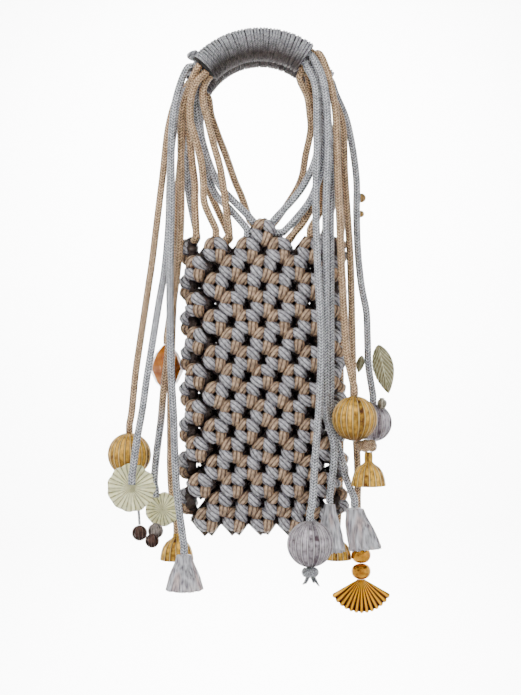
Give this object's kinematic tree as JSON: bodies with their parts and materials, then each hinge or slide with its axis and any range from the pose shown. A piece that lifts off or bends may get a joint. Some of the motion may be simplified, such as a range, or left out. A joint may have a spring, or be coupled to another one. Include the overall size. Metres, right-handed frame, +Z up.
{
  "type": "knotted potli bag",
  "caption": "Knotted cord potli bag: a net pouch under a wound arch handle, with long free cords that end in charms, hung by its handle.",
  "frame": {"origin": "underside of the handle's middle, where the bag hangs from a hand or hook", "axes": "+Z up, X across the pouch, -Y its front"},
  "size_m": [0.2288, 0.1011, 0.4661],
  "materials": {
    "winding": "fine wound cord",
    "knotted_cord": "knotted metallic cord",
    "rose_cord": "braided metallic cord",
    "silver_cord": "braided metallic cord",
    "gold_thread": "wound metallic thread",
    "silver_thread": "wound metallic thread",
    "gold_metal": "polished",
    "shell_enamel": "pale enamel on metal",
    "dark_metal": "dark antique",
    "amber_glass": "faceted, polished"
  },
  "bodies": {
    "root": {"amber_crystal": "amber_glass", "berry_bell": "dark_metal", "berry_dark": "dark_metal", "berry_pale": "dark_metal", "berry_stem": "silver_cord", "brass_bead_lower": "gold_metal", "brass_bead_upper": "gold_metal", "carrier_left_1": "rose_cord", "carrier_left_2": "rose_cord", "carrier_left_3": "rose_cord", "carrier_left_4": "silver_cord", "carrier_left_5": "silver_cord", "carrier_left_6": "rose_cord", "carrier_left_7": "silver_cord", "carrier_left_8": "rose_cord", "carrier_right_1": "silver_cord", "carrier_right_2": "silver_cord", "carrier_right_3": "rose_cord", "carrier_right_4": "rose_cord", "carrier_right_5": "rose_cord", "carrier_right_6": "silver_cord", "carrier_right_7": "silver_cord", "fan_bead_lower": "gold_metal", "fan_bead_upper": "gold_metal", "gold_ball_knot": "rose_cord", "gold_ball_left": "gold_thread", "gold_ball_right": "gold_thread", "gold_bell_back": "gold_metal", "gold_bell_left": "gold_metal", "gold_bell_right": "gold_metal", "gold_fan": "gold_metal", "handle_bar_back": "winding", "handle_bar_front": "winding", "leaf_large": "shell_enamel", "leaf_small": "shell_enamel", "pot_bead": "dark_metal", "pouch_back": "knotted_cord", "pouch_front": "knotted_cord", "shell_large": "shell_enamel", "shell_small": "shell_enamel", "silver_ball_back": "silver_thread", "silver_ball_front": "silver_thread", "silver_ball_knot": "silver_cord", "silver_tassel_inner": "silver_thread", "silver_tassel_left": "silver_thread", "silver_tassel_outer": "silver_thread", "strand_left_1": "rose_cord", "strand_left_2": "silver_cord", "strand_left_3": "rose_cord", "strand_left_4": "silver_cord", "strand_left_5": "rose_cord", "strand_left_6": "rose_cord", "strand_right_1": "silver_cord", "strand_right_2": "silver_cord", "strand_right_3": "rose_cord", "strand_right_4": "rose_cord", "strand_right_5": "silver_cord", "strand_right_6": "rose_cord", "strand_right_7": "silver_cord"}
  },
  "joints": []
}
